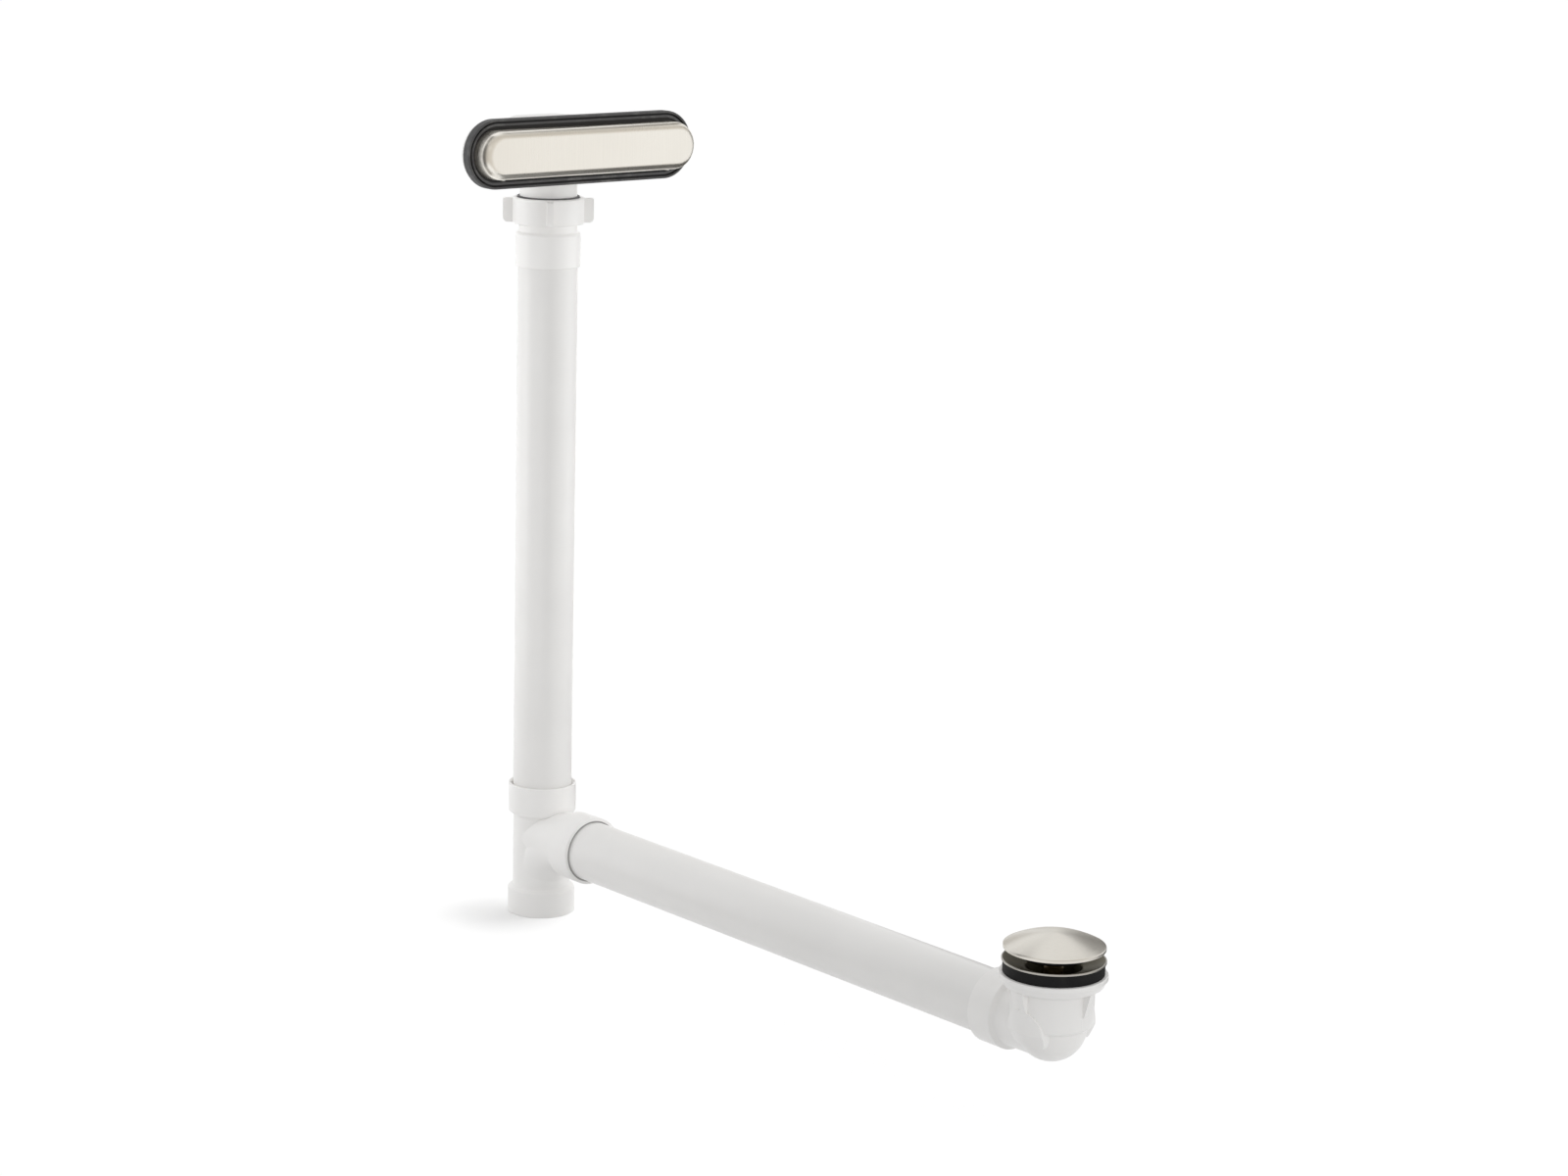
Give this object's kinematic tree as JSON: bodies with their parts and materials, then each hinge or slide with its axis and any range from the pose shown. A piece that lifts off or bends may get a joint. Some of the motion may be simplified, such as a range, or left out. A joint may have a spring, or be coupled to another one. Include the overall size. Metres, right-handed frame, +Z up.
{
  "type": "bath waste and overflow",
  "caption": "White pipework for a bath: a long overflow head on a standpipe, a sanitary tee, and a cross pipe to an elbow under a drain with a push-to-close domed stopper.",
  "frame": {"origin": "centre of the tee's outlet mouth", "axes": "+Z up the standpipe, -Y along the cross pipe to the drain and into the bath at the overflow, X along the overflow cover"},
  "size_m": [0.2218, 0.6705, 0.665],
  "materials": {
    "white_pvc": "smooth white pipe and mouldings",
    "brushed_nickel": "brushed nickel plate on brass",
    "stainless": "plain stainless steel",
    "plain_brass": "turned brass",
    "black_rubber": "matte moulded rubber",
    "grey_acetal": "moulded plastic"
  },
  "bodies": {
    "waste": {"overflow_cover": "brushed_nickel", "cover_set_screws": "stainless", "cover_bracket": "stainless", "bracket_screws": "stainless", "boss_inserts": "plain_brass", "overflow_gasket": "black_rubber", "overflow_body": "white_pvc", "slip_nut": "white_pvc", "slip_washer": "black_rubber", "slip_adapter": "white_pvc", "standpipe": "white_pvc", "waste_tee": "white_pvc", "cross_pipe": "white_pvc", "waste_shoe": "white_pvc", "shoe_washer": "black_rubber", "strainer_flange": "brushed_nickel", "cartridge_barrel": "plain_brass", "return_spring": "stainless"},
    "stopper": {"stopper_cap": "brushed_nickel", "stopper_seal": "black_rubber", "stopper_plunger": "plain_brass", "latch_rotor": "grey_acetal"}
  },
  "joints": [
    {"name": "stopper_slide", "type": "slide", "parent": "waste", "child": "stopper", "axis": [0, 0, 1], "range_m": [-0.006, 0], "stiffness_N_per_m": 600, "springref_m": 0.008, "deforming": ["return_spring"]}
  ]
}
